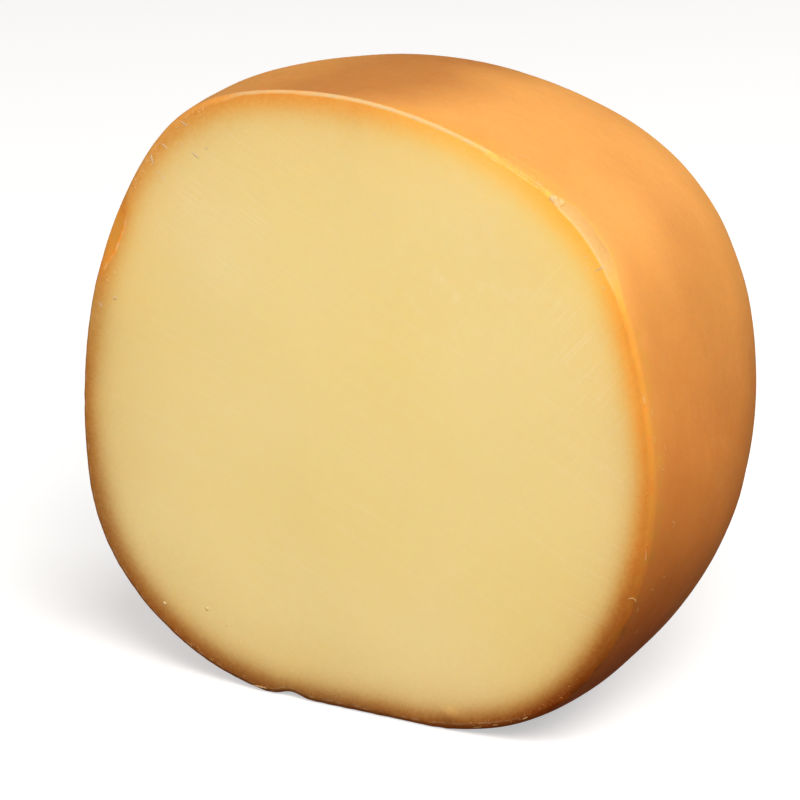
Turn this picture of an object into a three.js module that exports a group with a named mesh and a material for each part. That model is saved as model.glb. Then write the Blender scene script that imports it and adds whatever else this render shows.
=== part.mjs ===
// Half of a smoked provolone: a ball of cheese cut straight across, standing on its rind.
// Units are millimetres and +Z is up. The cut face looks along -Y and the round back points to +Y.
// The origin is on the ground, under the middle of the half's bounding box.
import * as THREE from "three";

// The ball before anything presses on it. Each reach is measured from the heart of the cheese,
// which lies in the middle of the cut.
const sideReach = 81;
const backReach = 104;
const upReach = 74;

// How tightly the sides turn into each other: a higher number gives flatter sides and tighter turns.
const squareness = 10;

// The heart's height over the ground. The weight of the cheese has pressed a flat spot there.
const heartHeight = 62.6;

// The broad flats that hanging, smoking and lying in store have pressed into the ball. The turn is
// the angle round the cheese, from +X towards +Z, the lean tips a flat towards the back, both in
// degrees, and the reach is the flat's distance from the heart.
const flats = [
  { side: "foot", turn: -90, lean: -20, reach: 61.2 },
  { side: "right", turn: 13.5, lean: 6.5, reach: 73.5 },
  { side: "left", turn: 180, lean: 0, reach: 59 },
  { side: "top", turn: 99, lean: -3, reach: 63 },
  { side: "upper right", turn: 70, lean: 3.3, reach: 65 },
  { side: "lower right", turn: -27, lean: -10, reach: 80.4 },
  { side: "lower left", turn: -132.5, lean: -9, reach: 67.6 },
  { side: "upper left", turn: 150, lean: -18, reach: 56.6 },
];

// The cut edge. The inset is how far it is worn in from the corner on the cut face, the drop is how
// far down the rind, and a fullness of 1 is a round edge and of 0 a flat shaving.
const usualEdge = { inset: 1.1, drop: 1.3, fullness: 0.85 };

// Stretches of the edge that differ from the usual one. Each runs between two turns in degrees and
// fades in and out over the two widths of its blend.
const edgeStretches = [
  { what: "crisp top", from: 54, to: 113, blend: [4, 6], inset: 0.6, drop: 1, fullness: 0.9 },
  { what: "right shaving", from: 23, to: 43.5, blend: [9, 3], inset: 0.7, drop: 3.6, fullness: 0 },
  { what: "soft right side", from: -58, to: 22, blend: [12, 8], inset: 1.2, drop: 1.5, fullness: 1 },
  { what: "bottom", from: -105, to: -48, blend: [6, 10], inset: 1.5, drop: 1.6, fullness: 0.9 },
  { what: "lower left", from: -176, to: -106, blend: [14, 10], inset: 1.3, drop: 1.6, fullness: 1 },
  { what: "left shaving", from: 141, to: 165, blend: [9, 13], inset: 3.3, drop: 1.2, fullness: 0.1 },
];

// A short crease in the rind at the lower left, which runs back from the cut.
const crease = { turn: -98.3, width: 5.6, depth: 1, length: 24 };

// The fineness of the mesh.
const columns = 160;
const faceRings = 2;
const edgeSteps = 3;
const bodySteps = 20;

const radians = THREE.MathUtils.degToRad;
const quarterTurn = Math.PI / 2;

// A number small enough to keep a division safe and too small to show.
const nearlyNothing = 1e-9;

for (const flat of flats) {
  const lean = radians(flat.lean);
  const turn = radians(flat.turn);
  flat.normal = new THREE.Vector3(
    Math.cos(lean) * Math.cos(turn),
    Math.sin(lean),
    Math.cos(lean) * Math.sin(turn),
  );
}

// The difference of two angles in degrees, from -180 to 180.
function turnBetween(from, to) {
  return THREE.MathUtils.euclideanModulo(to - from + 180, 360) - 180;
}

// The direction from the heart at an angle round the cheese and an angle back from the cut.
function direction(round, back) {
  return new THREE.Vector3(
    Math.cos(back) * Math.cos(round),
    Math.sin(back),
    Math.cos(back) * Math.sin(round),
  );
}

// The rind's distance from the heart. The ball and each flat give a nearness to the heart along the
// direction, and the highest nearness wins, softly, because they are summed at a high power.
function pressedReach(dir) {
  const ball = Math.hypot(dir.x / sideReach, dir.y / backReach, dir.z / upReach);
  let sum = ball ** squareness;
  for (const flat of flats) {
    sum += Math.max(0, flat.normal.dot(dir) / flat.reach) ** squareness;
  }
  return sum ** (-1 / squareness);
}

// How much the crease takes off the rind: a rounded furrow that dies out towards the back.
function creaseDepth(round, back, reach) {
  const aside = radians(turnBetween(crease.turn, THREE.MathUtils.radToDeg(round))) * reach;
  const behind = reach * Math.sin(back);
  const across = Math.exp(-((2 * aside / crease.width) ** 2));
  const along = 1 - THREE.MathUtils.smoothstep(behind, 0, crease.length);
  return crease.depth * across * along;
}

// A point of the rind, from the heart. What would reach below the ground is pressed flat on it.
function rindPoint(round, back) {
  const dir = direction(round, back);
  const toGround = heartHeight / Math.max(-dir.z, nearlyNothing);
  const reach = Math.min(pressedReach(dir), toGround);
  const point = dir.multiplyScalar(reach - creaseDepth(round, back, reach));
  if (point.z < nearlyNothing - heartHeight) {
    point.z = -heartHeight;
  }
  return point;
}

// The worn edge at an angle round the cut: the usual one, blended into the stretches that differ.
function edgeAt(round) {
  const edge = { ...usualEdge };
  for (const stretch of edgeStretches) {
    const past = THREE.MathUtils.euclideanModulo(
      THREE.MathUtils.radToDeg(round) - stretch.from,
      360,
    );
    const left = stretch.to - stretch.from - past;
    const [fadeIn, fadeOut] = stretch.blend;
    const share =
      THREE.MathUtils.smoothstep(past, 0, fadeIn) * THREE.MathUtils.smoothstep(left, 0, fadeOut);
    for (const size of ["inset", "drop", "fullness"]) {
      edge[size] = THREE.MathUtils.lerp(edge[size], stretch[size], share);
    }
  }
  return edge;
}

// One line of points from the middle of the cut over the edge and the rind towards the back pole.
function profile(round) {
  const edge = edgeAt(round);
  const corner = rindPoint(round, 0);
  const across = corner.length();
  const onFace = corner.clone().multiplyScalar(1 - edge.inset / across);
  const edgeBack = edge.drop / across;
  const onRind = rindPoint(round, edgeBack);
  const chord = onFace.clone().lerp(onRind, 0.5);
  const pull = chord.lerp(corner, edge.fullness);
  const bevel = new THREE.QuadraticBezierCurve3(onFace, pull, onRind);
  const points = [];
  for (let i = 1; i < faceRings; i++) {
    points.push(onFace.clone().multiplyScalar(i / faceRings));
  }
  points.push(...bevel.getPoints(edgeSteps));
  for (let i = 1; i < bodySteps; i++) {
    points.push(rindPoint(round, THREE.MathUtils.lerp(edgeBack, quarterTurn, i / bodySteps)));
  }
  return points;
}

// The closed skin: a fan in the middle of the cut, strips over the profiles and a fan at the back.
function cheeseGeometry() {
  const profiles = [];
  for (let column = 0; column < columns; column++) {
    profiles.push(profile((column / columns) * 2 * Math.PI));
  }
  const rows = profiles[0].length;
  const points = [new THREE.Vector3(0, 0, 0), ...profiles.flat(), rindPoint(0, quarterTurn)];
  const middle = 0;
  const backPole = points.length - 1;
  const at = (column, row) => 1 + (column % columns) * rows + row;
  const faces = [];
  for (let column = 0; column < columns; column++) {
    const next = column + 1;
    faces.push(middle, at(column, 0), at(next, 0));
    for (let row = 0; row + 1 < rows; row++) {
      faces.push(at(column, row), at(column, row + 1), at(next, row + 1));
      faces.push(at(column, row), at(next, row + 1), at(next, row));
    }
    faces.push(at(column, rows - 1), backPole, at(next, rows - 1));
  }
  const geometry = new THREE.BufferGeometry().setFromPoints(points);
  geometry.setIndex(faces);
  geometry.computeVertexNormals();
  return geometry;
}

// The half as it stands, with its foot on the ground and its middle over the origin.
function cheeseMesh() {
  const geometry = cheeseGeometry();
  geometry.computeBoundingBox();
  const box = geometry.boundingBox;
  geometry.translate(
    -(box.min.x + box.max.x) / 2,
    -(box.min.y + box.max.y) / 2,
    heartHeight,
  );
  const smokedRind = new THREE.MeshStandardMaterial({
    color: 0xd98c45,
    roughness: 0.4,
    metalness: 0,
  });
  const mesh = new THREE.Mesh(geometry, smokedRind);
  mesh.name = "cheese";
  return mesh;
}

const provolone = new THREE.Group();
provolone.add(cheeseMesh());

export default provolone;
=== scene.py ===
import math

import bpy
import numpy as np
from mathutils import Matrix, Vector


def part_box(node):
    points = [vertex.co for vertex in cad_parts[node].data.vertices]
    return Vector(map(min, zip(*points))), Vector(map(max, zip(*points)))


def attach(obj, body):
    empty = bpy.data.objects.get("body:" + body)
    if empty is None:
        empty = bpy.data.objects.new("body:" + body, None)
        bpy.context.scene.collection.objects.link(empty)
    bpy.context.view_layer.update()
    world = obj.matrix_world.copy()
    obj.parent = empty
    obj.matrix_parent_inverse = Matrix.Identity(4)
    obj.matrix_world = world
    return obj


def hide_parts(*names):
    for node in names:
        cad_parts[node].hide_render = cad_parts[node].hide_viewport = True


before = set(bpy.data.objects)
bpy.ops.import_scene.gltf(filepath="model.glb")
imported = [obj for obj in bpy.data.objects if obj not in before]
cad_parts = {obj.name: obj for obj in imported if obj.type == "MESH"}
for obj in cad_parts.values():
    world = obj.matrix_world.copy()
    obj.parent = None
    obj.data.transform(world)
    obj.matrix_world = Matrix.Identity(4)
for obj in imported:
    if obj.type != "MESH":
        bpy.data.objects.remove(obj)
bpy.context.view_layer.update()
print("frame loaded")

mm = 0.001
nearlyNothing = 1e-9  # keeps a division safe

# Half a smoked provolone. Sizes are millimetres from its heart, the middle of the cut. Turns go round
# the cut in degrees, from +X towards +Z, and leans tip a flat towards the back.
cheese = {
    "reach": (81, 104, 74),  # half axes of the unpressed ball: sideways, back, up
    "squareness": 10,  # higher gives flatter sides and tighter turns between them
    "heartHeight": 62.6,
    "flats": {  # turn, lean, distance from the heart
        "foot": (-90, -20, 61.2),
        "right": (13.5, 6.5, 73.5),
        "left": (180, 0, 59),
        "top": (99, -3, 63),
        "upper right": (70, 3.3, 65),
        "lower right": (-27, -10, 80.4),
        "lower left": (-132.5, -9, 67.6),
        "upper left": (150, -18, 56.6),
    },
    "crease": {"turn": -98.3, "width": 5.6, "depth": 1.0, "length": 24},
    "swelling": {"x": 28.3, "z": -59, "width": 1.7, "height": 0.4},  # a soft lump on the lower rim
    "columns": 720,
    "faceRows": 36,
    "edgeRows": 16,
    "bodyRows": 76,
    "faceWaves": 0.2,  # how far the cut face undulates inwards
    "rindWaves": 0.3,  # how far the rind is lumpy
    "crumbledWaves": 0.3,  # how deep the grain of the crumbled stretch is
}

# The worn cut edge: inset on the face, drop down the rind, fullness 1 for a round edge and 0 for a
# flat shaving, ragged for how uneven it is. Worn is how dull and pale the whole edge looks, line the
# strength of the thin pale line along its inner side, a painted highlight along the inner rim of the
# edge, and skin how far over it the rind starts.
# Each stretch runs between two turns and fades in and out over the two widths of its blend.
edge = {
    "rimRadius": 65,  # of a circle about as large as the rim, along which the edge is uneven
    "usual": dict(inset=1.1, drop=1.3, fullness=0.85, ragged=0.08, worn=0.05, line=0.1, skin=0.4),
    "stretches": {
        "crisp top": dict(
            span=(54, 97), blend=(4, 5), inset=0.6, drop=1.0, fullness=0.9,
            ragged=0.04, worn=1, line=0, skin=0.9,
        ),
        "dull top": dict(
            span=(91, 113), blend=(6, 6), inset=0.6, drop=0.9, fullness=0.9,
            ragged=0.08, worn=0.8, line=0, skin=0.8,
        ),
        "crumbled": dict(
            span=(43, 56), blend=(3, 3), inset=0.8, drop=1.4, fullness=0.8,
            ragged=0.2, worn=0.2, line=0.6, skin=0.5,
        ),
        "right shaving": dict(
            span=(23, 43.5), blend=(9, 3), inset=1.2, drop=3.3, fullness=0,
            ragged=0.03, worn=0, line=0.15, skin=0.97,
        ),
        "soft right": dict(
            span=(-58, 22), blend=(12, 8), inset=1.2, drop=1.5, fullness=1,
            ragged=0.08, worn=0, line=0.05, skin=0.2,
        ),
        "bottom": dict(
            span=(-105, -48), blend=(6, 10), inset=1.5, drop=1.6, fullness=0.9,
            ragged=0.06, worn=0, line=0.14, skin=0.2,
        ),
        "lower left": dict(
            span=(-176, -106), blend=(14, 10), inset=1.3, drop=1.6, fullness=1,
            ragged=0.08, worn=0, line=0.15, skin=0.3,
        ),
        "left shaving": dict(
            span=(141, 165), blend=(9, 13), inset=3.3, drop=1.2, fullness=0.1,
            ragged=0.015, worn=0, line=0.5, skin=0.85,
        ),
    },
}

# How smoke has soaked in from the rind at a few turns: its strength at the edge, how many millimetres
# in it has fallen to half, and its hue, from -1 for golden over 0 for orange to 1 for brown. Golden
# also lifts red, a painted glow of light through the thin edge at the top right.
smoke = {
    -172: (2.45, 1.8, 0.75),
    -150: (1.95, 3.8, 1.0),
    -125: (2.75, 3.0, 0.85),
    -110: (2.85, 2.75, 1.0),
    -90: (3.0, 2.0, 1.15),
    -74: (3.5, 2.0, 0.95),
    -60: (3.5, 2.2, 0.9),
    -40: (4.4, 1.9, 0.9),
    -27: (3.2, 2.5, 0.75),
    -15: (2.5, 3.1, 0.35),
    -4: (2.1, 2.7, 0.2),
    9: (1.6, 3.3, -0.1),
    20: (1.45, 3.5, -0.3),
    30: (0.95, 3.9, -0.9),
    40: (1.0, 4.4, -1),
    52: (0.72, 3.8, -1),
    62: (0.8, 3.0, -0.9),
    72: (0.95, 3.2, -0.5),
    83: (1.15, 3.4, 0.0),
    105: (1.4, 2.9, 0.1),
    120: (1.35, 3.4, 0.25),
    140: (1.3, 2.6, 0.3),
    150: (1.85, 3.0, 0.2),
    160: (1.7, 2.9, 0.3),
    170: (1.0, 3.5, 0.75),
}
smokeGain = 1.1  # makes up for what the soft fall takes off at the edge
smokeFade = 1.3  # millimetres over which the smoke falls off
# Partly smoke and partly painted shade: a faint darkening of the cut near the rim.
hazeAndShade = (0.42, 8.5)  # a faint tint further in: its strength at the edge and how deep it reaches


def smoothStep(x, low, high):
    t = np.clip((x - low) / (high - low), 0, 1)
    return t * t * (3 - 2 * t)


# The angle from one turn to another, from -180 to 180 degrees.
def turnBetween(start, end):
    return (end - start + 180) % 360 - 180


# A smooth random field: the sum of sine waves of about one wavelength in random directions.
def waves(points, wavelength, seed, count=28):
    rng = np.random.default_rng(seed)
    ways = rng.normal(size=(count, 3))
    ways /= np.linalg.norm(ways, axis=1, keepdims=True)
    ways *= (2 * np.pi / wavelength) * rng.uniform(0.7, 1.4, (count, 1))
    phases = rng.uniform(0, 2 * np.pi, count)
    field = np.zeros(points.shape[:-1])
    for way, phase in zip(ways, phases):
        field += np.sin(points @ way + phase)
    return field / math.sqrt(count / 2)


# Unit directions from the heart: turn round the cut and back angle away from the cut plane.
def directions(turns, backs):
    t, b = np.radians(turns), np.radians(backs)
    return np.stack(np.broadcast_arrays(np.cos(b) * np.cos(t), np.sin(b), np.cos(b) * np.sin(t)), -1)


# Distance of the rind from the heart: the ball's and each flat's nearness along the direction are
# raised to a high power and summed, so the nearest of them wins softly, and the ground cuts it off.
def reachAlong(dirs):
    power = cheese["squareness"]
    nearness = np.linalg.norm(dirs / np.array(cheese["reach"]), axis=-1) ** power
    for turn, lean, reach in cheese["flats"].values():
        nearness = nearness + (np.maximum(0, dirs @ directions(turn, lean)) / reach) ** power
    toGround = cheese["heartHeight"] / np.maximum(-dirs[..., 2], nearlyNothing)
    return np.minimum(nearness ** (-1 / power), toGround)


# Points of the rind: direction times reach, less a rounded furrow at the crease that dies out behind.
def rindPoints(turns, backs):
    dirs = directions(turns, backs)
    reach = reachAlong(dirs)
    crease = cheese["crease"]
    aside = np.radians(turnBetween(crease["turn"], turns)) * reach
    furrow = np.exp(-((2 * aside / crease["width"]) ** 2))
    furrow = furrow * (1 - smoothStep(reach * dirs[..., 1], 0, crease["length"]))
    return dirs * (reach - crease["depth"] * furrow)[..., None]


# Edge sizes at each turn: the usual ones blended into each stretch, and the ragged share of them.
def edgeSizes(turns):
    sizes = {key: np.full(turns.shape, float(value)) for key, value in edge["usual"].items()}
    shares = {}
    for name, stretch in edge["stretches"].items():
        start, end = stretch["span"]
        past = (turns - start) % 360
        fadeIn, fadeOut = stretch["blend"]
        share = smoothStep(past, 0, fadeIn) * smoothStep(end - start - past, 0, fadeOut)
        shares[name] = share
        for key in sizes:
            sizes[key] += share * (stretch[key] - sizes[key])
    ring = directions(turns, 0) * edge["rimRadius"]
    uneven = (0.7 * waves(ring, 5, 11) + 0.5 * waves(ring, 1.7, 12)).clip(-1.6, 1.6)
    sizes["inset"] = sizes["inset"] * (1 + sizes["ragged"] * uneven)
    sizes["drop"] = sizes["drop"] * (1 + sizes["ragged"] * waves(ring, 3, 13).clip(-1.5, 1.5))
    return sizes, shares


# The whole skin as a grid of rows by columns. Each column runs from near the middle of the cut, over
# the face, along a quadratic curve over the edge, and over the rind towards the back pole.
def cheeseSurface():
    turns = np.arange(cheese["columns"]) * 360 / cheese["columns"]
    sizes, shares = edgeSizes(turns)
    corner = rindPoints(turns, 0 * turns)
    across = np.linalg.norm(corner, axis=-1)
    outward = corner / across[:, None]
    faceReach = across - sizes["inset"]

    # The first row lies near the heart and the rows close up towards the edge, up to a small gap.
    rows = cheese["faceRows"]
    nearEdge, nearHeart = 0.15, 1.2
    growth = (np.arange(rows, 0, -1) / rows)[:, None]
    gap = nearEdge * ((faceReach - nearHeart) / nearEdge) ** growth
    onFace = (faceReach - gap)[..., None] * outward
    start = faceReach[:, None] * outward

    firstBack = np.degrees(sizes["drop"] / across)
    end = rindPoints(turns, firstBack)
    middle = (start + end) / 2
    pull = middle + sizes["fullness"][:, None] * (corner - middle)
    t = np.linspace(0, 1, cheese["edgeRows"])[:, None, None]
    onEdge = (1 - t) ** 2 * start + 2 * t * (1 - t) * pull + t**2 * end

    rows = cheese["bodyRows"]
    step = np.arange(1, rows) / rows
    spread = 0.25 * step + 0.75 * step**1.7  # rows lie closer together near the cut
    backs = firstBack + spread[:, None] * (90 - firstBack)
    onRind = rindPoints(np.broadcast_to(turns, backs.shape), backs)

    points = np.concatenate([onFace, onEdge, onRind])
    return points, turns, sizes, shares


# How far each point lies along its column over the edge: 0 on the face, 0 to 1 over it, 1 on the rind.
def alongEdge(rowCount):
    first = cheese["faceRows"]
    return np.clip((np.arange(rowCount) - first) / (cheese["edgeRows"] - 1), 0, 1)[:, None]


# How far the cut face is sunk at a point, in soft waves that leave its edge alone.
def faceDip(points, depth):
    hollows = (0.5 + 0.5 * waves(points, 38, 21)).clip(0, 1)
    return cheese["faceWaves"] * smoothStep(depth, 2, 12) * hollows


# Small unevenness: the face undulates inwards, the rind is pressed in here and there, the crumbled
# stretch of the edge is grainy, and one soft lump stands on the lower rim.
def roughen(points, sizes, shares):
    over = alongEdge(len(points))
    reach = np.linalg.norm(points, axis=-1)
    dirs = points / reach[..., None]
    depth = reachAlong(dirs) - reach
    backwards = np.where(over == 0, faceDip(points, depth), 0)
    lump = cheese["swelling"]
    away = np.hypot(points[..., 0] - lump["x"], 1.4 * (points[..., 2] - lump["z"]))
    backwards = backwards - lump["height"] * np.exp(-((away / lump["width"]) ** 2)) * (over < 1)
    aboveGround = points[..., 2] + cheese["heartHeight"]
    onRind = smoothStep(points[..., 1], 1, 14) * smoothStep(aboveGround, 0.5, 10)
    lumps = 0.5 + 0.3 * waves(points, 46, 22) + 0.15 * waves(points, 17, 23)
    inwards = cheese["rindWaves"] * onRind * lumps.clip(0, 1)
    nearRim = (over > 0) * (1 - smoothStep(points[..., 1], 3, 5.5))
    grains = (0.5 + 0.35 * waves(points, 1.6, 24) + 0.25 * waves(points, 0.9, 25)).clip(0, 1)
    inwards = inwards + cheese["crumbledWaves"] * nearRim * shares["crumbled"] * grains
    moved = points - dirs * inwards[..., None]
    moved[..., 1] += backwards
    return moved, depth


# Faces of a grid of rows by columns that closes on itself sideways: quads, and a fan of triangles at
# each end to one more point. The two end points come after the grid's.
def gridFaces(rows, columns):
    column = np.arange(columns)
    beside = (column + 1) % columns
    rowStart = np.arange(rows - 1)[:, None] * columns
    here, there = rowStart + column, rowStart + beside
    quads = np.stack([here, here + columns, there + columns, there], -1).reshape(-1, 4)
    last = (rows - 1) * columns
    firstFan = np.stack([np.full(columns, rows * columns), column, beside], -1)
    lastFan = np.stack([last + column, np.full(columns, rows * columns + 1), last + beside], -1)
    return quads, firstFan, lastFan


# A smooth mesh in metres from points in millimetres around a home point.
def smoothMesh(name, points, faces, home):
    mesh = bpy.data.meshes.new(name)
    mesh.from_pydata((points + home) * mm, [], faces)
    mesh.polygons.foreach_set("use_smooth", np.ones(len(mesh.polygons), bool))
    return mesh


def addAttribute(mesh, name, values):
    layer = mesh.attributes.new(name, "FLOAT", "POINT")
    layer.data.foreach_set("value", np.ravel(values).astype(np.float32))


def addPiece(name, mesh, materials):
    piece = bpy.data.objects.new(name, mesh)
    bpy.context.scene.collection.objects.link(piece)
    for material in materials:
        mesh.materials.append(material)
    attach(piece, "root")
    return piece


# A node with its sockets set: a plain value is put in, and another node's output is linked.
def node(tree, kind, inputs=None, **settings):
    made = tree.nodes.new(kind)
    for key, value in settings.items():
        setattr(made, key, value)
    for key, value in (inputs or {}).items():
        if isinstance(value, bpy.types.NodeSocket):
            tree.links.new(value, made.inputs[key])
        else:
            made.inputs[key].default_value = value
    return made


def maths(tree, operation, *values):
    return node(tree, "ShaderNodeMath", dict(enumerate(values)), operation=operation).outputs[0]


def total(tree, *values):
    result = values[0]
    for value in values[1:]:
        result = maths(tree, "ADD", result, value)
    return result


def times(tree, *values):
    result = values[0]
    for value in values[1:]:
        result = maths(tree, "MULTIPLY", result, value)
    return result


def mixed(tree, share, first, second, blend="MIX"):
    sockets = {0: share, 6: first, 7: second}
    return node(tree, "ShaderNodeMix", sockets, data_type="RGBA", blend_type=blend).outputs[2]


def ranged(tree, value, low, high, outLow=0, outHigh=1):
    inputs = {"Value": value, "From Min": low, "From Max": high, "To Min": outLow, "To Max": outHigh}
    return node(tree, "ShaderNodeMapRange", inputs, interpolation_type="SMOOTHSTEP").outputs[0]


def attribute(tree, name):
    return node(tree, "ShaderNodeAttribute", attribute_name=name).outputs["Fac"]


def useGroup(tree, group, **inputs):
    made = tree.nodes.new("ShaderNodeGroup")
    made.node_tree = group
    for key, value in inputs.items():
        if isinstance(value, bpy.types.NodeSocket):
            tree.links.new(value, made.inputs[key])
        else:
            made.inputs[key].default_value = value
    return made


def newGroup(name, inputs, outputs):
    group = bpy.data.node_groups.new(name, "ShaderNodeTree")
    for socketName, kind, value in inputs:
        socket = group.interface.new_socket(socketName, in_out="INPUT", socket_type="NodeSocket" + kind)
        socket.default_value = value
    for socketName, kind in outputs:
        group.interface.new_socket(socketName, in_out="OUTPUT", socket_type="NodeSocket" + kind)
    return group, group.nodes.new("NodeGroupInput").outputs, group.nodes.new("NodeGroupOutput").inputs


# How strongly golden, orange and brown smoke swallow each colour. Golden's negative share for red
# lifts it: a painted glow of light through the thin edge at the top right.
smokeShares = {
    "red": (-0.16, 0.03, 0.42),
    "green": (0.22, 0.42, 0.72),
    "blue": (1.0, 1.0, 1.0),
}


# Smoke in the cheese swallows blue most, then green, and red only where it is brown: each colour is
# multiplied by e to the power of minus its share of the smoke. Golden smoke even lifts red a little:
# a painted glow of the light shining through the thin edge at the top right.
def makeSmokeGroup():
    group, given, result = newGroup(
        "smokeTint",
        [("Clean", "Color", (1, 1, 1, 1)), ("Smoke", "Float", 1.0), ("Hue", "Float", 0.0)],
        [("Color", "Color")],
    )
    browner = maths(group, "MAXIMUM", given["Hue"], 0.0)
    yellower = maths(group, "MAXIMUM", times(group, given["Hue"], -1.0), 0.0)
    channels = []
    for golden, orange, brown in smokeShares.values():
        share = maths(group, "MULTIPLY_ADD", browner, brown - orange, orange)
        share = maths(group, "MULTIPLY_ADD", yellower, golden - orange, share)
        channels.append(maths(group, "EXPONENT", times(group, share, given["Smoke"], -1.0)))
    tint = node(group, "ShaderNodeCombineColor", dict(enumerate(channels))).outputs[0]
    group.links.new(mixed(group, 1.0, given["Clean"], tint, "MULTIPLY"), result["Color"])
    return group


# Fine scores that a knife or a shelf leaves, all one way: noise drawn out along the turned X axis,
# which bends by Bend times the distance along it squared.
def makeScoreGroup():
    group, given, result = newGroup(
        "scores",
        [
            ("Turn", "Vector", (0, 0, 0)),
            ("Length", "Float", 0.02),
            ("Width", "Float", 0.0004),
            ("Bend", "Float", 0.0),
            ("Sparse", "Float", 0.58),
            ("Where", "Float", 1.0),
        ],
        [("Height", "Float"), ("Lines", "Float")],
    )
    place = node(group, "ShaderNodeTexCoord").outputs["Object"]
    inputs = {"Vector": place, "Rotation": given["Turn"]}
    turned = node(group, "ShaderNodeVectorRotate", inputs, rotation_type="EULER_XYZ").outputs[0]
    parts = node(group, "ShaderNodeSeparateXYZ", {0: turned}).outputs
    along = maths(group, "DIVIDE", parts["X"], given["Length"])
    bent = maths(group, "MULTIPLY_ADD", times(group, parts["X"], parts["X"]), given["Bend"], parts["Z"])
    across = maths(group, "DIVIDE", bent, given["Width"])
    stretched = node(group, "ShaderNodeCombineXYZ", {"X": along, "Z": across}).outputs[0]
    inputs = {"Vector": stretched, "Scale": 1.0, "Detail": 2.0}
    noise = node(group, "ShaderNodeTexNoise", inputs).outputs[0]
    top = maths(group, "ADD", given["Sparse"], 0.16)
    inputs = {"Value": noise, "From Min": given["Sparse"], "From Max": top}
    lines = node(group, "ShaderNodeMapRange", inputs, interpolation_type="SMOOTHSTEP").outputs[0]
    group.links.new(times(group, noise, given["Where"]), result["Height"])
    group.links.new(times(group, lines, given["Where"]), result["Lines"])
    return group


# Cloudy patches of one size, from 0 to 1.
def makeCloudGroup():
    group, given, result = newGroup(
        "clouds",
        [
            ("Size", "Float", 0.02),
            ("Detail", "Float", 2.0),
            ("Shift", "Float", 0.0),
            ("Low", "Float", 0.35),
            ("High", "Float", 0.65),
        ],
        [("Cloud", "Float")],
    )
    place = node(group, "ShaderNodeTexCoord").outputs["Object"]
    scale = maths(group, "DIVIDE", 1.0, given["Size"])
    inputs = {"Vector": place, "W": given["Shift"], "Scale": scale, "Detail": given["Detail"]}
    noise = node(group, "ShaderNodeTexNoise", inputs, noise_dimensions="4D").outputs[0]
    inputs = {"Value": noise, "From Min": given["Low"], "From Max": given["High"]}
    cloud = node(group, "ShaderNodeMapRange", inputs, interpolation_type="SMOOTHSTEP").outputs[0]
    group.links.new(cloud, result["Cloud"])
    return group


smokeGroup, scoreGroup, cloudGroup = makeSmokeGroup(), makeScoreGroup(), makeCloudGroup()


# Cloudy patches in a tree: their size in metres, their detail, a shift that makes them differ, and
# the levels of the noise that give 0 and 1.
def clouds(tree, size, detail, shift, low=0.35, high=0.65):
    made = useGroup(tree, cloudGroup, Size=size, Detail=detail, Shift=shift, Low=low, High=high)
    return made.outputs[0]


# The normal tilted by a height, on top of another tilted normal where there is one.
def bumped(tree, height, strength, distance, normal=None):
    inputs = {"Strength": strength, "Distance": distance, "Height": height}
    if normal is not None:
        inputs["Normal"] = normal
    return node(tree, "ShaderNodeBump", inputs).outputs[0]


rind = {
    "bright": (0.9, 0.405, 0.098, 1),
    # The darkest colour, towards the foot: partly smoke staining, partly painted shade of the underside.
    "dark": (0.54, 0.11, 0.004, 1),  # towards the foot
    # The veil: what the side with the most smoke and painted shade keeps of either colour.
    "veil": (0.58, 0.49, 0.48, 1),  # what the smokiest side keeps of either
    "scuff": (0.95, 0.62, 0.32, 1),
    "scuffShare": 0.18,  # how much of a scuff's own colour is seen
    "bump": (0.12, 0.0003),  # strength and height in metres
    "roughness": (0.43, 0.53),
    # How much smoke and painted shade each part of the rind has: 0 for bright, 1 for the most.
    "smoky": {
        "top": 0.31,
        # The left side of the top: partly smoke, partly painted shade where it faces away from the light.
        "topLeft": 0.78,  # more than the rest of the top
        # Less veil far left on the top: a painted sheen.
        "farLeft": -0.5,
        "side": 0.15,
        "belt": 0.24,
        "left": 0.3,
        "patch": 0.08,
    },
    "shader": {
        "Subsurface Weight": 0.3,
        "Subsurface Radius": (1.0, 0.45, 0.15),
        "Subsurface Scale": 0.004,
        "IOR": 1.45,
        "Specular IOR Level": 0.11,
    },
}


# The colour of the rind: from bright orange to its darkest, partly smoke staining and partly painted shade
# towards the foot, dulled by a veil where it holds smoke or painted shade.
def makeRindGroup():
    group, given, result = newGroup(
        "rindTone",
        [
            ("Bright", "Color", rind["bright"]),
            ("Dark", "Color", rind["dark"]),
            ("Veil", "Color", rind["veil"]),
            ("Smoky", "Float", 0.0),
            ("Stain", "Float", 0.0),
        ],
        [("Color", "Color")],
    )
    broad = clouds(group, 0.05, 2.0, 2.0)
    streak = clouds(group, 0.007, 3.0, 9.0, 0.3, 0.7)
    speck = clouds(group, 0.0006, 1.0, 6.0, 0.3, 0.7)
    mottle = total(
        group,
        times(group, broad, 0.16),
        times(group, streak, 0.06),
        times(group, speck, 0.05),
        -0.13,
    )
    smoky = maths(group, "ADD", given["Smoky"], mottle)
    stain = maths(group, "MULTIPLY_ADD", mottle, 0.4, given["Stain"])
    color = mixed(group, stain, given["Bright"], given["Dark"])
    veil = mixed(group, smoky, (1, 1, 1, 1), given["Veil"])
    group.links.new(mixed(group, 1.0, color, veil, "MULTIPLY"), result["Color"])
    return group


rindGroup = makeRindGroup()


def newMaterial(name, values):
    material = bpy.data.materials.new(name)
    material.use_nodes = True
    tree = material.node_tree
    shader = tree.nodes["Principled BSDF"]
    for key, value in values.items():
        shader.inputs[key].default_value = value
    return material, tree, shader


def rindColor(tree):
    smoky, stain = attribute(tree, "smoky"), attribute(tree, "stain")
    return useGroup(tree, rindGroup, Smoky=smoky, Stain=stain).outputs[0]


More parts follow.
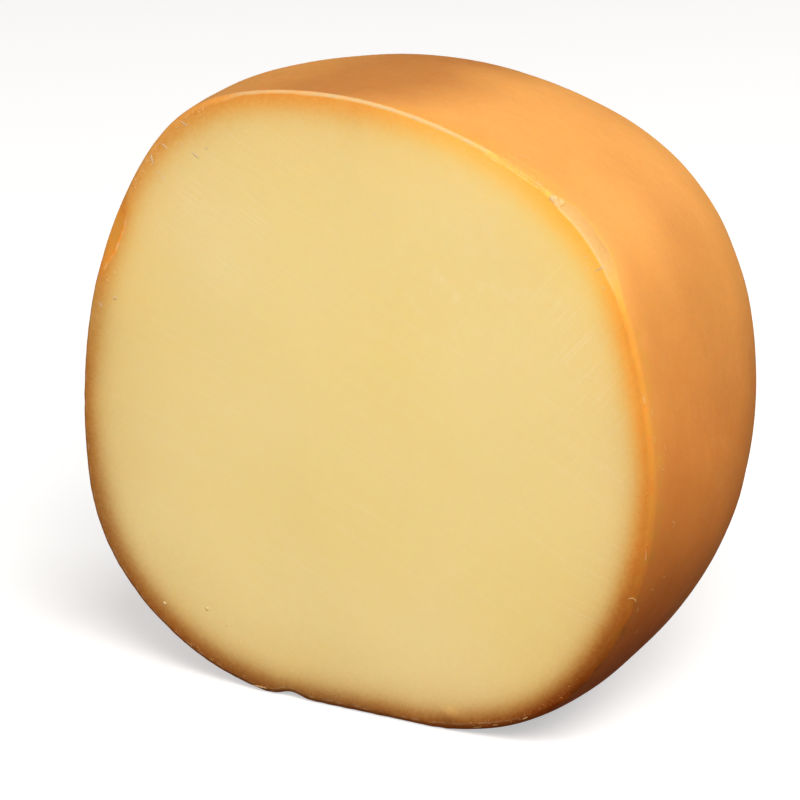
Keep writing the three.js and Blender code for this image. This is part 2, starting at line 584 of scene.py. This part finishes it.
paste = {
    "cream": (0.91, 0.725, 0.35, 1),
    "yellow": (0.89, 0.685, 0.255, 1),
    "fresh": (0.98, 0.83, 0.54, 1),
    "grains": (0.98, 0.42, 0.07, 1),  # in the crumbly golden rim
    "amber": (0.72, 0.325, 0.05, 1),  # where fat has come to the surface along the edge
    # Painted shade: the amber darkened towards the foot.
    "shadedAmber": (0.2, 0.035, 0.001, 1),  # the same in the shade of the foot
    "worn": (0.66, 0.435, 0.205, 1),  # the dull pale band over the top edge
    "scoreShare": 0.32,  # how pale the scores are
    "grainShare": 0.2,
    "scoreBump": (0.06, 0.0002),  # strength and height in metres
    "grainBump": (0.04, 0.0002),
    "roughness": 0.55,
    # Soft oval patches where the paste is creamier and where wisps and scores lie: what holds all over
    # the cut, then for each patch its strength, x, z and two half widths in millimetres.
    "patches": {
        "cream": (0.2, [(0.4, -25, 28, 14, 24), (-0.4, 17, 8, 15, 26)]),
        "wisps": (0.06, [(0.22, 32, 26, 16, 10)]),
        "scoresLeft": (0, [(1, -26, 38, 24, 22)]),
        "scoresRight": (0, [(1.5, 56, 18, 12, 20)]),
        "scoresLow": (0, [(0.9, 62, -30, 10, 16)]),
        "scoresFace": (0.25, []),
    },
    # The scores of each patch: turn in degrees, length and width in metres, bend, how sparse.
    "scores": {
        "scoresLeft": (-33, 0.013, 0.0003, 0.6, 0.53),
        "scoresRight": (38, 0.02, 0.0004, -1.0, 0.56),
        "scoresLow": (-9, 0.03, 0.0005, 0.3, 0.55),
        "scoresFace": (-24, 0.04, 0.0005, 1.2, 0.53),
    },
    "shader": {
        "Subsurface Weight": 0.3,
        "Subsurface Radius": (1.0, 0.6, 0.25),
        "Subsurface Scale": 0.003,
        "IOR": 1.44,
        "Specular IOR Level": 0.07,
    },
}


# The amber of the edge, from its bright colour to its painted shade towards the foot.
def amberColor(tree):
    return mixed(tree, attribute(tree, "amberShade"), paste["amber"], paste["shadedAmber"])


# A colour with the orange grains of the crumbly rim laid over it.
def withGrains(tree, color, grain):
    share = times(tree, attribute(tree, "grains"), ranged(tree, grain, 0.1, 0.9))
    return mixed(tree, share, color, paste["grains"])


def makePaste():
    material, tree, shader = newMaterial("cutPaste", paste["shader"])
    broad = clouds(tree, 0.05, 1.5, 1.0, 0.25, 0.75)
    wisps = clouds(tree, 0.004, 3.0, 3.0, 0.5, 0.75)
    grain = clouds(tree, 0.0006, 2.0, 4.0, 0.3, 0.7)
    smudge = clouds(tree, 0.003, 3.0, 7.0, 0.2, 0.8)
    heights, lines = [], []
    for mask, (turn, length, width, bend, sparse) in paste["scores"].items():
        scores = useGroup(
            tree,
            scoreGroup,
            Turn=(0, math.radians(turn), 0),
            Length=length,
            Width=width,
            Bend=bend,
            Sparse=sparse,
            Where=attribute(tree, mask),
        )
        heights.append(scores.outputs["Height"])
        lines.append(scores.outputs["Lines"])
    creamy = total(tree, times(tree, broad, 0.6), attribute(tree, "cream"))
    clean = mixed(tree, creamy, paste["yellow"], paste["cream"])
    seen = times(tree, total(tree, *lines), paste["scoreShare"])
    clean = mixed(tree, seen, clean, paste["fresh"])
    wisps = times(tree, wisps, attribute(tree, "wisps"))
    clean = mixed(tree, wisps, clean, paste["fresh"])
    clean = mixed(tree, times(tree, grain, paste["grainShare"]), clean, paste["yellow"])
    uneven = total(tree, times(tree, smudge, 0.1), times(tree, grain, 0.14), 0.88)
    amount, hue = times(tree, attribute(tree, "smoke"), uneven), attribute(tree, "hue")
    color = useGroup(tree, smokeGroup, Clean=clean, Smoke=amount, Hue=hue).outputs[0]
    # The thin pale line: a painted highlight along the inner rim of the edge.
    color = mixed(tree, attribute(tree, "line"), color, paste["fresh"])
    color = mixed(tree, attribute(tree, "skin"), color, rindColor(tree))
    color = mixed(tree, attribute(tree, "amber"), color, amberColor(tree))
    color = mixed(tree, attribute(tree, "worn"), color, paste["worn"])
    color = withGrains(tree, color, grain)
    bump = bumped(tree, total(tree, *heights), *paste["scoreBump"])
    bump = bumped(tree, grain, *paste["grainBump"], bump)
    tree.links.new(color, shader.inputs["Base Color"])
    rough = ranged(tree, attribute(tree, "skin"), 0, 1, paste["roughness"], sum(rind["roughness"]) / 2)
    tree.links.new(rough, shader.inputs["Roughness"])
    tree.links.new(bump, shader.inputs["Normal"])
    return material


def makeRind():
    material, tree, shader = newMaterial("smokedRind", rind["shader"])
    color = rindColor(tree)
    scuffs = useGroup(
        tree,
        scoreGroup,
        Turn=(0.2, 0, 1.45),
        Length=0.0015,
        Width=0.03,
        Sparse=0.62,
        Where=attribute(tree, "scuffs"),
    )
    seen = times(tree, scuffs.outputs["Lines"], rind["scuffShare"])
    color = mixed(tree, seen, color, rind["scuff"])
    color = mixed(tree, attribute(tree, "amber"), color, amberColor(tree))
    color = withGrains(tree, color, clouds(tree, 0.0007, 2.0, 4.0, 0.3, 0.7))
    height = clouds(tree, 0.0025, 3.0, 5.0, 0.2, 0.8)
    bump = bumped(tree, height, *rind["bump"])
    low, high = rind["roughness"]
    tree.links.new(color, shader.inputs["Base Color"])
    tree.links.new(ranged(tree, height, 0, 1, low, high), shader.inputs["Roughness"])
    tree.links.new(bump, shader.inputs["Normal"])
    return material


# A soft oval patch: 1 in its middle and fading over its two half widths, all in millimetres.
def patch(aside, up, middleAside, middleUp, halfAside, halfUp):
    return np.exp(-(((aside - middleAside) / halfAside) ** 2) - ((up - middleUp) / halfUp) ** 2)


# The strength and the hue of the smoke at each point: the table of stops blended round the cut. The
# strength falls off with the depth under the rind, and the hue turns browner there, least at the foot
# and the upper left. The two shavings and the crumbled stretch have shades of their own.
def smokeFields(points, turns, over, depth, shares):
    x, z = points[..., 0], points[..., 2]
    stops = sorted(smoke)
    table = np.array([smoke[stop] for stop in stops]).T
    strength, half, hue = (np.interp(turns, stops, row, period=360) for row in table)
    inside = np.maximum(depth, 0)
    soaked = smokeGain * strength / (1 + np.exp((inside - half) / smokeFade))
    # A faint darkening further in: partly smoke, partly painted shade.
    soaked = soaked + hazeAndShade[0] * np.exp(-inside / hazeAndShade[1])
    browner = smoothStep(hue, -0.6, 0.2) * (1 - 0.6 * smoothStep(-z, 15, 45))
    browner = browner * (1 - 0.7 * smoothStep(-x, 25, 45) * smoothStep(z, 0, 15))
    hue = hue + 0.5 * smoothStep(inside, 2, 9) * browner
    onEdge = (over > 0) & (over < 1)
    own = [  # share, smoke and hue
        (shares["left shaving"] ** 1.6 * onEdge, 2.1 + 1.2 * over, -0.5),
        (shares["crumbled"] * (over > 0), 1.5, -0.15),
        (shares["right shaving"] * onEdge, 0.95 + 0.5 * over, 0.55),
    ]
    for share, ownSmoke, ownHue in own:
        soaked = soaked + share * (ownSmoke - soaked)
        hue = hue + share * (ownHue - hue)
    return {"smoke": soaked, "hue": hue}


# Tints along the edge: how strong, between which turns in degrees they rise and fall, and between
# which distances behind the cut they fade out.
edgeTints = {
    "grains": dict(share=0.5, rise=(40, 46), fall=(54, 80), fade=(2.2, 7.5)),
    "lowRight": dict(share=0.62, rise=(-66, -40), fall=(16, 26)),
    "topRight": dict(share=0.5, rise=(52, 60), fall=(74, 84), fade=(0.5, 6)),
    "lensAmber": 0.85,  # on the left shaving
    "facetWorn": 0.38,  # on the right shaving
    "facetLine": 0.5,  # the pale line along the inner side of the right shaving
}


def alongTurns(turns, tint):
    return smoothStep(turns, *tint["rise"]) * (1 - smoothStep(turns, *tint["fall"]))


# What lies over the paste along the edge: the worn band, the thin pale line (a painted highlight along
# the inner rim of the edge), the start of the rind, amber where fat has come out with painted shade on
# it towards the foot, and orange grains on the crumbled stretch. All fade with smooth steps.
def edgeFields(points, turns, over, depth, sizes, shares):
    y, z = points[..., 1], points[..., 2]
    turnHere = np.broadcast_to(turnBetween(0, turns), y.shape)
    onEdge = (over > 0) & (over < 1)
    inner = smoothStep(over, 0, 0.12) * (1 - smoothStep(over, 0.88, 1))
    worn = sizes["worn"] * inner * (0.92 + 0.1 * waves(points, 3, 31)).clip(0, 1)
    facet = shares["right shaving"]
    onFace = np.exp(-(depth - sizes["inset"]).clip(0, 9) / 0.12)
    facetLine = np.where(over > 0, 1 - smoothStep(over, 0.03, 0.18), onFace)
    worn = worn + edgeTints["facetWorn"] * facet * onEdge * (1 - 0.4 * over)
    worn = worn + edgeTints["facetLine"] * facetLine * facet
    # The thin pale line: a painted highlight along the inner rim of the edge.
    thin = np.exp(-(((over - 0.08) / 0.07) ** 2)) * (over > 0)
    line = sizes["line"] * thin * (0.35 + 0.5 * waves(points, 2.4, 32)).clip(0, 1)
    skin = smoothStep(over, sizes["skin"], np.minimum(sizes["skin"] + 0.6, 1.0001))

    border = y + 0.7 * waves(points, 6, 34) + 0.4 * waves(points, 2, 33)
    tint = edgeTints["grains"]
    grains = tint["share"] * alongTurns(turnHere, tint) * (over > 0.1)
    grains = grains * (1 - smoothStep(border, *tint["fade"]))
    tint = edgeTints["lowRight"]
    width = 1.8 + 1.8 * smoothStep(turnHere, -25, -5)
    amber = tint["share"] * alongTurns(turnHere, tint) * smoothStep(-depth, -2.6, -0.3)
    amber = amber * (1 - smoothStep(border, width - 1.6, width + 1.6))
    broken = 0.85 + 0.25 * waves(points, 5, 35) + 0.2 * waves(points, 1.5, 36)
    amber = amber * broken.clip(0.3, 1.3)
    tint = edgeTints["topRight"]
    topRight = tint["share"] * alongTurns(turnHere, tint) * (over > 0.9)
    amber = amber + topRight * (1 - smoothStep(border, *tint["fade"]))
    lens = shares["left shaving"] ** 1.6 * onEdge
    amber = amber + edgeTints["lensAmber"] * lens * (1 - thin)
    # Painted shade on the amber, growing towards the foot.
    amberShade = np.clip(-z - 2, 0, 50) / 50
    fields = {"worn": worn, "line": line, "skin": skin, "amber": amber, "amberShade": amberShade}
    return fields | {"grains": grains}


# How much smoke, staining and painted shade the rind has. The top is veiled on its left side, right up
# to a border that swings with the distance behind the cut: partly smoke, partly painted shade where the
# top faces away from the light, and it thins out far left for a painted sheen. The sides have a belt
# and are clearer near the foot. The darkening grows downwards: partly smoke staining, partly painted
# shade of the underside.
def rindFields(points):
    x, y, z = points[..., 0], points[..., 1], points[..., 2]
    parts = rind["smoky"]
    border = 8 + 4.5 * smoothStep(y, 2, 15) - 7 * smoothStep(y, 25, 45)
    above = parts["top"] + parts["topLeft"] * (1 - smoothStep(x - border, -9, 15))
    above = above + parts["farLeft"] * smoothStep(-x, 2, 28)
    belt = np.exp(-(((y - 34) / 11) ** 2)) * smoothStep(z, -15, 5)
    beside = (parts["side"] + parts["belt"] * belt) * smoothStep(y, 3, 12)
    beside = beside + parts["left"] * smoothStep(-x, -10, 30)
    beside = beside + parts["patch"] * patch(y, z, 40, 32, 12, 16)
    beside = beside * (1 - 0.5 * smoothStep(-z, 15, 45))
    smoky = beside + smoothStep(z, 36, 52) * (above - beside)
    # Darker downwards: partly smoke staining, partly painted shade of the underside.
    stain = np.clip((42 - z) / 92, 0, 1) - 0.06 * (1 - smoothStep(y, 1, 7))
    scuffs = patch(y, z, 34, -5, 12, 16) + patch(y, z, 10, 16, 6, 12)
    return {"smoky": smoky, "stain": stain, "scuffs": scuffs}


# Where the paste is creamier and where wisps and scores lie: what holds everywhere plus each patch.
def cutFields(points):
    x, z = points[..., 0], points[..., 2]
    fields = {}
    for name, (everywhere, patches) in paste["patches"].items():
        strengths = [strength * patch(x, z, *place) for strength, *place in patches]
        fields[name] = sum(strengths, everywhere)
    return fields


def makeCheese():
    plain, turns, sizes, shares = cheeseSurface()
    low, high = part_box("cheese")
    middle = (low.x + high.x) / 2 / mm - (plain[..., 0].min() + plain[..., 0].max()) / 2
    home = np.array([middle, low.y / mm, low.z / mm + cheese["heartHeight"]])
    points, depth = roughen(plain, sizes, shares)
    over = alongEdge(len(points))

    backPole = rindPoints(np.array([0.0]), np.array([90.0]))[0]
    allPoints = np.concatenate([points.reshape(-1, 3), [np.zeros(3), backPole]])
    faces = [face for part in gridFaces(*points.shape[:2]) for face in part.tolist()]
    mesh = smoothMesh("cheeseHalf", allPoints, faces, home)
    fields = smokeFields(points, turns, over, depth, shares)
    fields |= edgeFields(points, turns, over, depth, sizes, shares)
    fields |= rindFields(points) | cutFields(points)
    for name, values in fields.items():
        values = np.broadcast_to(values, depth.shape)
        addAttribute(mesh, name, np.append(values.ravel(), [0, values[-1].mean()]))

    lastPasteRow = cheese["faceRows"] + cheese["edgeRows"] - 1
    kinds = np.repeat(np.arange(len(points) - 1) >= lastPasteRow, len(turns))
    kinds = np.concatenate([kinds, np.zeros(len(turns)), np.ones(len(turns))])
    piece = addPiece("cheeseHalf", mesh, [makePaste(), makeRind()])
    mesh.polygons.foreach_set("material_index", kinds.astype(np.int32))
    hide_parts("cheese")
    print("cheese", len(mesh.polygons), "faces, heart at", home)
    return home, points


heart, skinPoints = makeCheese()


# Where a turn and a row position on the skin grid lie, with a frame of unit vectors there: forward
# round the cheese, backwards along the column, and out of the surface. All are blends of the grid.
def skinSpots(turns, rows):
    count, columns = skinPoints.shape[:2]
    column = (np.asarray(turns, float) % 360) / 360 * columns
    first = np.floor(column).astype(int) % columns
    second = (first + 1) % columns
    below = np.clip(np.floor(rows).astype(int), 0, count - 2)
    u, v = (column % 1)[:, None], (np.asarray(rows, float) - below)[:, None]
    a, b = skinPoints[below, first], skinPoints[below, second]
    c, d = skinPoints[below + 1, first], skinPoints[below + 1, second]
    place = (a * (1 - u) + b * u) * (1 - v) + (c * (1 - u) + d * u) * v
    along = (b - a) * (1 - v) + (d - c) * v
    down = (c - a) * (1 - u) + (d - b) * u
    along /= np.linalg.norm(along, axis=1, keepdims=True)
    out = np.cross(down, along)
    out /= np.linalg.norm(out, axis=1, keepdims=True)
    return place, np.stack([along, np.cross(out, along), out], 1)


# Where points of the cut face lie, from their X and Z, with the same kind of frame.
def faceSpots(x, z):
    flat = np.stack([x, 0 * x, z], -1)
    away = np.linalg.norm(flat, axis=-1)
    flat[:, 1] = faceDip(flat, reachAlong(flat / away[:, None]) - away)
    return flat, np.broadcast_to(np.array([[1.0, 0, 0], [0, 0, 1.0], [0, -1.0, 0]]), (len(x), 3, 3))


# Many small lumps in one mesh. Each is a ball of rows and columns, stretched to its three half sizes
# in its own frame and dented by a random share at every point.
def lumpMesh(name, places, frames, sizes, seed, columns=7, rows=4):
    rng = np.random.default_rng(seed)
    fall = np.pi * np.arange(1, rows + 1)[:, None] / (rows + 1)
    turn = 2 * np.pi * np.arange(columns)[None, :] / columns
    upright = np.broadcast_to(np.cos(fall), (rows, columns))
    ball = np.stack([np.sin(fall) * np.cos(turn), np.sin(fall) * np.sin(turn), upright], -1)
    ball = np.concatenate([ball.reshape(-1, 3), [[0, 0, 1], [0, 0, -1]]])
    dents = rng.uniform(0.7, 1.15, (len(places), len(ball), 1))
    local = ball * dents * sizes[:, None, :]
    points = places[:, None, :] + np.einsum("npk,nkj->npj", local, frames)
    quads, top, bottom = gridFaces(rows, columns)
    shift = (np.arange(len(places)) * len(ball))[:, None, None]
    faces = (quads + shift).reshape(-1, 4).tolist() + (top + shift).reshape(-1, 3).tolist()
    faces += (bottom + shift).reshape(-1, 3).tolist()
    mesh = smoothMesh(name, points.reshape(-1, 3), faces, heart)
    return mesh, len(ball)


crumbs = {
    "pale": (0.95, 0.74, 0.4, 1),
    "golden": (0.98, 0.66, 0.26, 1),
    "embed": 0.72,  # share of a crumb's height that is sunk in
    "groups": {  # turns, rows over the edge (0 face, 1 rind), count, smallest and largest half size, smoke
        "crumbled rim": dict(turns=(43.5, 56.5), rows=(0.0, 1.2), count=80, size=(0.06, 0.18), smoke=0.9),
        "crumbled rind": dict(turns=(42, 60), rows=(1.0, 1.6), count=70, size=(0.05, 0.12), smoke=1.2),
        "blob": dict(turns=(41.3, 43.4), rows=(0.1, 0.8), count=130, size=(0.2, 0.36), smoke=0.45),
        "right rim": dict(turns=(-20, 22), rows=(-0.25, 0.9), count=60, size=(0.04, 0.1), smoke=1.0),
        "low right rim": dict(turns=(-62, -36), rows=(-0.3, 0.4), count=90, size=(0.04, 0.11), smoke=1.3),
        "upper left rim": dict(turns=(117, 142), rows=(-0.9, 0.1), count=70, size=(0.05, 0.16), smoke=0.3),
        "low left rim": dict(turns=(-128, -102), rows=(-0.3, 0.6), count=40, size=(0.05, 0.12), smoke=0.8),
    },
    # Fine flecks in a slanting band above the lower left edge: from the top left corner of its box the
    # band falls by its slope, and they lie up to so far above and below it and from the heart.
    "flecks": dict(
        x=(-46, -10), z=(-56, -36), slope=-0.55, above=6, below=10,
        reach=58, count=60, size=(0.05, 0.15), flatness=0.5,
    ),
    "speckShape": (1, 0.9, 0.25),
    "specks": [  # single ones on the cut: x, z and half size
        (-38.7, -48, 0.45),
        (-28.5, -47.4, 0.5),
        (-34.2, -45.7, 0.2),
        (-32.6, -47.3, 0.2),
        (-30.6, -43.4, 0.25),
        (-25.9, -49.9, 0.2),
        (-23.7, -50.2, 0.25),
        (-36.1, -40.8, 0.2),
        (-33.4, -41.2, 0.2),
        (-38.3, -43.5, 0.2),
        (-49.6, 19, 0.25),
        (-51.5, 17.1, 0.25),
        (-8.6, 54, 0.2),
        (57.5, 36.5, 0.25),
        (57.7, 34.2, 0.25),
        (61.2, 31.1, 0.25),
    ],
}


def makeCrumbMaterial(name, pale, golden):
    material, tree, shader = newMaterial(name, paste["shader"])
    tone = clouds(tree, 0.0012, 1.0, 11.0, 0.3, 0.7)
    clean = mixed(tree, tone, pale, golden)
    amount = attribute(tree, "smoke")
    color = useGroup(tree, smokeGroup, Clean=clean, Smoke=amount, Hue=-0.2).outputs[0]
    tree.links.new(color, shader.inputs["Base Color"])
    shader.inputs["Roughness"].default_value = paste["roughness"]
    return material


def makeCrumbs():
    rng = np.random.default_rng(51)
    firstEdgeRow = cheese["faceRows"]
    places, frames, sizes, smokes = [], [], [], []
    for group in crumbs["groups"].values():
        count = group["count"]
        turns = rng.uniform(*group["turns"], count)
        rows = firstEdgeRow + rng.uniform(*group["rows"], count) * (cheese["edgeRows"] - 1)
        place, axes = skinSpots(turns, rows)
        size = rng.uniform(*group["size"], (count, 1)) * rng.uniform(0.6, 1.3, (count, 3))
        places.append(place + axes[:, 2] * size[:, 2:] * (1 - 2 * crumbs["embed"]))
        frames.append(axes)
        sizes.append(size)
        smokes.append(np.full(count, group["smoke"]) * rng.uniform(0.4, 1.4, count))
    x, z, half = np.array(crumbs["specks"]).T
    place, axes = faceSpots(x, z)
    places.append(place)
    frames.append(axes)
    sizes.append(half[:, None] * np.array([crumbs["speckShape"]]))
    smokes.append(np.full(len(x), 0.3))
    flecks = crumbs["flecks"]
    x, z = rng.uniform(*flecks["x"], flecks["count"]), rng.uniform(*flecks["z"], flecks["count"])
    band = flecks["z"][1] + flecks["slope"] * (x - flecks["x"][0])
    near = (z < band + flecks["above"]) & (z > band - flecks["below"])
    near &= np.hypot(x, z) < flecks["reach"]
    place, axes = faceSpots(x[near], z[near])
    size = rng.uniform(*flecks["size"], (near.sum(), 1)) * np.array([[1, 1, flecks["flatness"]]])
    places.append(place)
    frames.append(axes)
    sizes.append(size)
    smokes.append(np.zeros(near.sum()))
    places, frames, sizes = np.concatenate(places), np.concatenate(frames), np.concatenate(sizes)
    mesh, perLump = lumpMesh("edgeCrumbs", places, frames, sizes, 52)
    addAttribute(mesh, "smoke", np.repeat(np.concatenate(smokes), perLump))
    material = makeCrumbMaterial("crumb", crumbs["pale"], crumbs["golden"])
    addPiece("edgeCrumbs", mesh, [material])
    print("crumbs", len(places), "lumps")


makeCrumbs()

# Thin shreds that the knife left lying. Each is a strand along an arc: where its middle lies, its
# heading in degrees, its length, how far it curls round in degrees, and its half width.
shreds = {
    "pale": (0.93, 0.78, 0.52, 1),
    "dull": (0.85, 0.62, 0.34, 1),
    "sides": 6,
    "steps": 18,
    "flatness": 0.2,  # height of a strand over its width
    "embed": 0.05,
    "onCut": [  # x, z
        (-32.5, 51.1, -30, 1.9, 20, 0.14),
        (-37.2, 46, -35, 1.6, -30, 0.16),
        (-30, 45.1, -32, 2.2, 15, 0.16),
        (-27.4, 46.8, -30, 0.9, 0, 0.12),
        (-33.1, 46.9, -40, 0.8, 40, 0.12),
        (-40.2, 43, -75, 2.0, 30, 0.2),
        (-37.5, 39.7, -40, 1.4, 20, 0.13),
        (-38.6, 40.7, -20, 0.7, 0, 0.12),
        (-49.7, 13.7, -20, 1.0, 40, 0.22),
        (-53.1, 11.8, -60, 1.1, 30, 0.2),
        (60.5, 34.7, 32, 2.6, 10, 0.12),
        (11.3, 38.6, -35, 2.6, 130, 0.05),
    ],
    "onRim": [  # turn, row over the edge (0 face, 1 rind)
        (52.7, 1.62, 60, 5.2, 190, 0.1),
        (51.6, 1.2, 20, 1.4, 40, 0.1),
        (52.4, 1.1, 35, 1.1, -30, 0.09),
        (46.4, 0.5, 10, 1.6, 60, 0.2),
        (8.8, 0.4, 0, 1.6, 20, 0.14),
        (6.5, 1.05, 0, 1.9, 270, 0.09),
        (2.6, 0.9, 40, 2.4, 240, 0.09),
        (0.2, 1.5, 10, 1.5, 90, 0.07),
        (-2.6, 1.3, 70, 2.0, 70, 0.07),
        (-12, 1.75, 30, 2.6, 220, 0.09),
        (-15.5, 0.4, 5, 3.4, 15, 0.09),
        (-21, 1.83, 50, 1.8, 200, 0.08),
        (-22.2, 1.55, 60, 1.5, 120, 0.09),
        (-22.6, 0.4, 75, 2.2, 120, 0.12),
        (-25, 1.25, 25, 1.4, 30, 0.13),
        (-30.5, 1.72, 5, 1.9, 20, 0.09),
        (-32.4, 2.27, 15, 2.0, -20, 0.07),
        (-104.5, 0.25, 0, 3.4, 8, 0.24),
        (-60.5, 0.5, 0, 2.1, 10, 0.16),
        (-57, 0.4, 0, 1.3, -10, 0.14),
        (-51.4, 0.3, 0, 1.4, 10, 0.13),
    ],
}


# One mesh of tapered flattened tubes. Each runs along an arc in the frame of its spot: its heading
# turns evenly by the curl over its length, and it lies on the plane that touches the surface there.
# Two sine waves along it make it thicker and thinner.
def strandMesh(name, places, frames, strands):
    heading, length, curl, half = strands.T
    steps, sides = shreds["steps"], shreds["sides"]
    t = np.linspace(-0.5, 0.5, steps)
    way = np.radians(heading[:, None] + curl[:, None] * t)
    stride = length[:, None] / (steps - 1)
    path = np.stack([np.cumsum(np.cos(way), 1), np.cumsum(np.sin(way), 1)], -1) * stride[..., None]
    path -= path.mean(1, keepdims=True)
    ring = np.arange(sides) * 2 * np.pi / sides
    thick = half[:, None] * np.sqrt(np.clip(1 - (2 * t) ** 2, 0.02, 1))
    phase = heading[:, None]
    thick = thick * (1.0 + 0.35 * np.sin(23 * t + phase) + 0.25 * np.sin(41 * t + phase))
    aside = thick[..., None] * np.cos(ring)
    height = thick[..., None] * np.sin(ring) * shreds["flatness"]
    height = height + (half * shreds["embed"])[:, None, None]
    local = np.stack(
        [
            path[..., 0, None] - np.sin(way)[..., None] * aside,
            path[..., 1, None] + np.cos(way)[..., None] * aside,
            height,
        ],
        -1,
    )
    points = places[:, None, None, :] + np.einsum("nstk,nkj->nstj", local, frames)
    quads = gridFaces(steps, sides)[0]
    shift = (np.arange(len(places)) * steps * sides)[:, None, None]
    firstCap = np.arange(sides)
    lastCap = (steps - 1) * sides + np.arange(sides)[::-1]
    caps = np.stack([firstCap, lastCap])
    faces = (quads + shift).reshape(-1, 4).tolist() + (caps + shift).reshape(-1, sides).tolist()
    return smoothMesh(name, points.reshape(-1, 3), faces, heart)


def makeShreds():
    onCut, onRim = np.array(shreds["onCut"]), np.array(shreds["onRim"])
    cutPlaces, cutFrames = faceSpots(onCut[:, 0], onCut[:, 1])
    rows = cheese["faceRows"] + onRim[:, 1] * (cheese["edgeRows"] - 1)
    rimPlaces, rimFrames = skinSpots(onRim[:, 0], rows)
    places, frames = np.concatenate([cutPlaces, rimPlaces]), np.concatenate([cutFrames, rimFrames])
    strands = np.concatenate([onCut, onRim])[:, 2:]
    mesh = strandMesh("thinShreds", places, frames, strands)
    perStrand = shreds["steps"] * shreds["sides"]
    smokes = np.concatenate([np.full(len(onCut), 0.15), np.full(len(onRim), 0.9)])
    addAttribute(mesh, "smoke", np.repeat(smokes, perStrand))
    material = makeCrumbMaterial("shred", shreds["pale"], shreds["dull"])
    addPiece("thinShreds", mesh, [material])
    print("shreds", len(strands), "strands")


makeShreds()

view = {
    "azimuth": 32,
    "elevation": 16,
    "distance": 0.9,
    "aim": (16.9, 0, 2.8),  # from the heart, in millimetres
    "lens": 211.5,
}


def makeCamera():
    camera = bpy.data.objects.new("camera", bpy.data.cameras.new("camera"))
    bpy.context.scene.collection.objects.link(camera)
    turn, rise = math.radians(view["azimuth"]), math.radians(view["elevation"])
    level = math.cos(rise)
    back = Vector((math.sin(turn) * level, -math.cos(turn) * level, math.sin(rise)))
    target = Vector((heart + np.array(view["aim"])) * mm)
    camera.location = target + back * view["distance"]
    camera.rotation_euler = back.to_track_quat("Z", "Y").to_euler()
    camera.data.lens = view["lens"]
    camera.data.sensor_width = 36
    camera.data.clip_start = 0.01
    bpy.context.scene.camera = camera


studio = {
    "lights": {  # place, size, power, colour
        "key": ((0.72, -0.8, 1.0), 0.8, 25, (1.0, 0.98, 0.95)),
        "fill": ((-0.9, -1.1, 0.5), 0.9, 6, (1.0, 0.98, 0.95)),
        "side": ((0.8, 0.9, 1.1), 0.8, 10, (1.0, 0.97, 0.93)),
        "back": ((-0.4, 0.7, 1.3), 1.0, 1.6, (1.0, 0.98, 0.95)),
        "left": ((-1.15, 0.15, 0.3), 0.9, 2, (1.0, 0.98, 0.95)),
    },
    "lightsAim": (0, 0, 0.06),
    "world": (1.0, 0.98, 0.96, 1),
    "worldStrength": 0.06,
    "worldSeen": 0.9,  # how bright the room behind the floor looks
    "floor": (0.6, 0.6, 0.6, 1),
    "floorGlow": (0.5, 0.5, 0.5, 1),  # lifts the floor towards white where the camera sees it
    "floorBounce": (0.15, 0.13, 0.11, 1),  # what the floor gives back to the cheese
    "floorSize": 6.0,
}


def makeStudio():
    for name, (place, size, power, colour) in studio["lights"].items():
        lamp = bpy.data.lights.new(name, "AREA")
        lamp.size, lamp.energy, lamp.color = size, power, colour
        light = bpy.data.objects.new(name, lamp)
        light.location = place
        back = Vector(place) - Vector(studio["lightsAim"])
        light.rotation_euler = back.to_track_quat("Z", "Y").to_euler()
        bpy.context.scene.collection.objects.link(light)

    world = bpy.data.worlds.new("softRoom")
    world.use_nodes = True
    tree = world.node_tree
    background = tree.nodes["Background"]
    background.inputs["Color"].default_value = studio["world"]
    seen = node(tree, "ShaderNodeLightPath").outputs["Is Camera Ray"]
    strength = ranged(tree, seen, 0, 1, studio["worldStrength"], studio["worldSeen"])
    tree.links.new(strength, background.inputs["Strength"])
    bpy.context.scene.world = world

    half = studio["floorSize"] / 2
    mesh = bpy.data.meshes.new("floor")
    corners = [(-half, -half, 0), (half, -half, 0), (half, half, 0), (-half, half, 0)]
    mesh.from_pydata(corners, [], [(0, 1, 2, 3)])
    floor = bpy.data.objects.new("floor", mesh)
    bpy.context.scene.collection.objects.link(floor)
    values = {"Roughness": 0.9, "Specular IOR Level": 0.1, "Emission Strength": 1}
    material, tree, shader = newMaterial("paleFloor", values)
    seen = node(tree, "ShaderNodeLightPath").outputs["Is Camera Ray"]
    color = mixed(tree, seen, studio["floorBounce"], studio["floor"])
    glow = mixed(tree, seen, (0, 0, 0, 1), studio["floorGlow"])
    tree.links.new(color, shader.inputs["Base Color"])
    tree.links.new(glow, shader.inputs["Emission Color"])
    mesh.materials.append(material)
    bpy.context.scene.view_settings.view_transform = "Standard"


makeCamera()
makeStudio()
print("studio and camera set")
